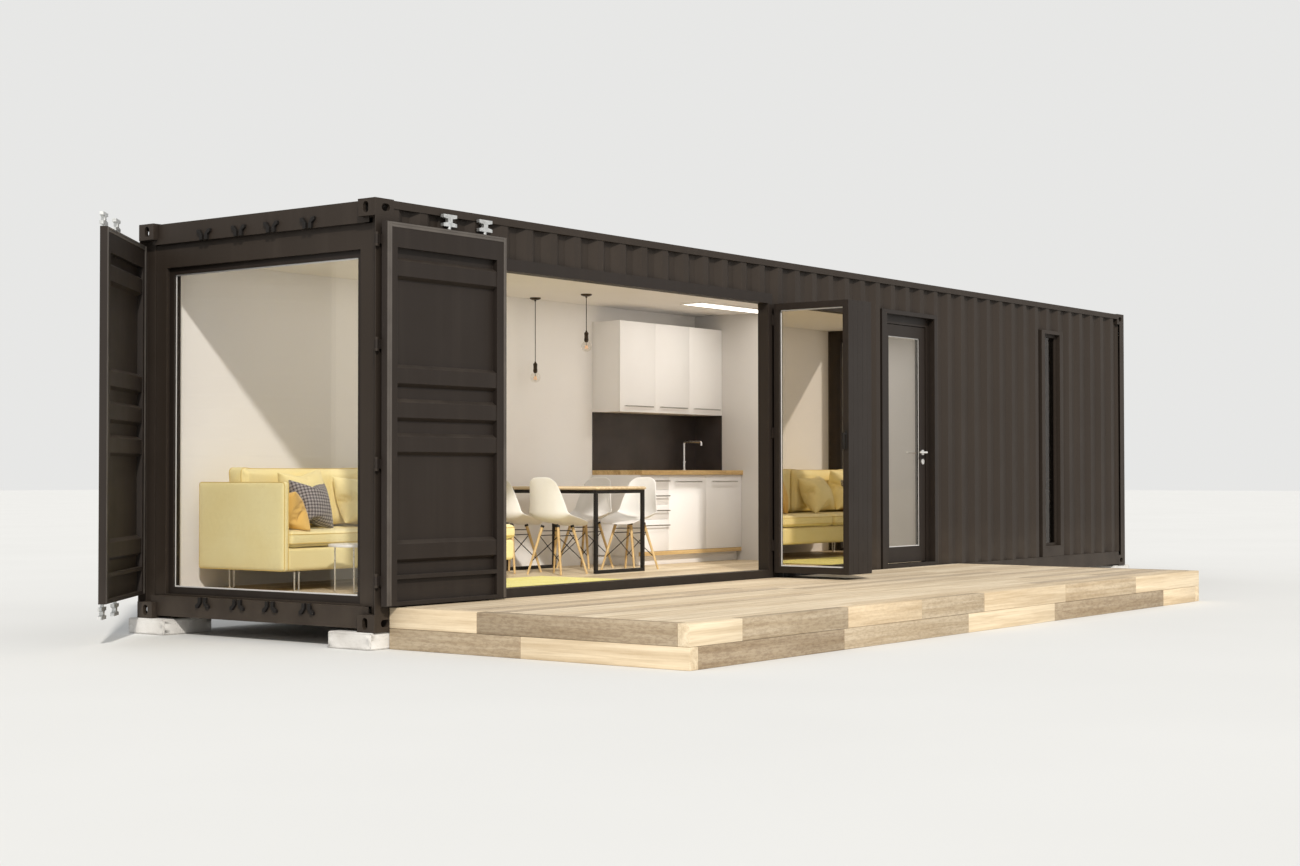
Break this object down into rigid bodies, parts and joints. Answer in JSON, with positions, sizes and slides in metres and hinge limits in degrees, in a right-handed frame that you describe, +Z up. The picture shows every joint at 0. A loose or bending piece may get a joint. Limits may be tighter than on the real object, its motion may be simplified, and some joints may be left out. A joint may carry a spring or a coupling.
{
  "type": "shipping container cabin",
  "caption": "High steel freight container fitted out as a cabin: corrugated walls, swung-back cargo doors, a wide folding glass opening, an entrance door and a timber deck.",
  "frame": {"origin": "middle of the whole outline, deck and open cargo door included, on the ground", "axes": "+X along the container from its cargo-door end to its far end, +Y from the deck towards the back wall, +Z up"},
  "size_m": [13.2816, 4.974, 3.011],
  "materials": {
    "dark_steel": "satin paint with dust and worn edges",
    "window_frame": "matt powder coat",
    "galvanised": "galvanised",
    "bright_metal": "polished",
    "lamp_metal": "satin",
    "lamp_panel": "opal",
    "clear_glass": "clear",
    "wall_lining": "matt paint on board",
    "floor_boards": "oiled planks",
    "deck_timber": "planed, weathering",
    "concrete": "cast, painted off-white",
    "white_units": "satin lacquer",
    "oak": "oiled oak",
    "dark_panel": "satin",
    "table_frame": "satin powder coat",
    "chair_shell": "moulded",
    "yellow_fabric": "woven wool",
    "plaid_fabric": "woven check",
    "table_white": "satin",
    "rug_wool": "tufted wool"
  },
  "bodies": {
    "cabin": {"base_frame": "dark_steel", "corner_castings": "dark_steel", "corner_posts": "dark_steel", "top_side_rails": "dark_steel", "door_header": "dark_steel", "door_sill": "dark_steel", "far_end_rails": "dark_steel", "cabin_floor": "floor_boards", "roof_sheet": "dark_steel", "ceiling_lining": "wall_lining", "back_wall_sheet": "dark_steel", "far_end_wall_sheet": "dark_steel", "front_wall_sheets": "dark_steel", "front_fascia_sheets": "dark_steel", "wall_linings": "wall_lining", "partition_wall": "wall_lining", "opening_frame": "window_frame", "folding_door_frames": "window_frame", "folding_door_glass": "clear_glass", "door_surround": "window_frame", "slit_surround": "window_frame", "slit_glass": "clear_glass", "end_infill": "dark_steel", "end_window_frame": "window_frame", "end_window_glass": "clear_glass", "hinge_lugs": "dark_steel", "door_keepers": "galvanised", "foundation_blocks": "concrete", "deck_top": "deck_timber", "deck_edging": "deck_timber", "kitchen_base": "white_units", "kitchen_worktop": "oak", "kitchen_wall_units": "white_units", "kitchen_splashback": "dark_panel", "kitchen_tap": "bright_metal", "pendant_lamps": "lamp_metal", "ceiling_light": "lamp_panel", "dining_table": "table_frame", "dining_chairs": "chair_shell", "sofa_frame": "yellow_fabric", "sofa_cushions": "yellow_fabric", "scatter_cushions": "plaid_fabric", "side_table": "table_white", "rug": "rug_wool"},
    "right_door": {"right_cargo_leaf": "dark_steel", "right_lock_rods": "galvanised"},
    "left_door": {"left_cargo_leaf": "dark_steel", "left_lock_rods": "galvanised"},
    "entrance_door": {"entrance_leaf": "window_frame", "entrance_glass": "clear_glass", "entrance_handles": "bright_metal"}
  },
  "joints": [
    {"name": "right_door_hinge", "type": "hinge", "parent": "cabin", "child": "right_door", "pos_m": [-5.69824, -0.032, 1.571], "axis": [0, 0, 1], "range_deg": [-270, 0]},
    {"name": "left_door_hinge", "type": "hinge", "parent": "cabin", "child": "left_door", "pos_m": [-5.69824, 2.436, 1.571], "axis": [0, 0, 1], "range_deg": [-219, 51]},
    {"name": "entrance_hinge", "type": "hinge", "parent": "cabin", "child": "entrance_door", "pos_m": [1.10176, 0.1196, 1.415], "axis": [0, 0, 1], "range_deg": [0, 90]}
  ]
}
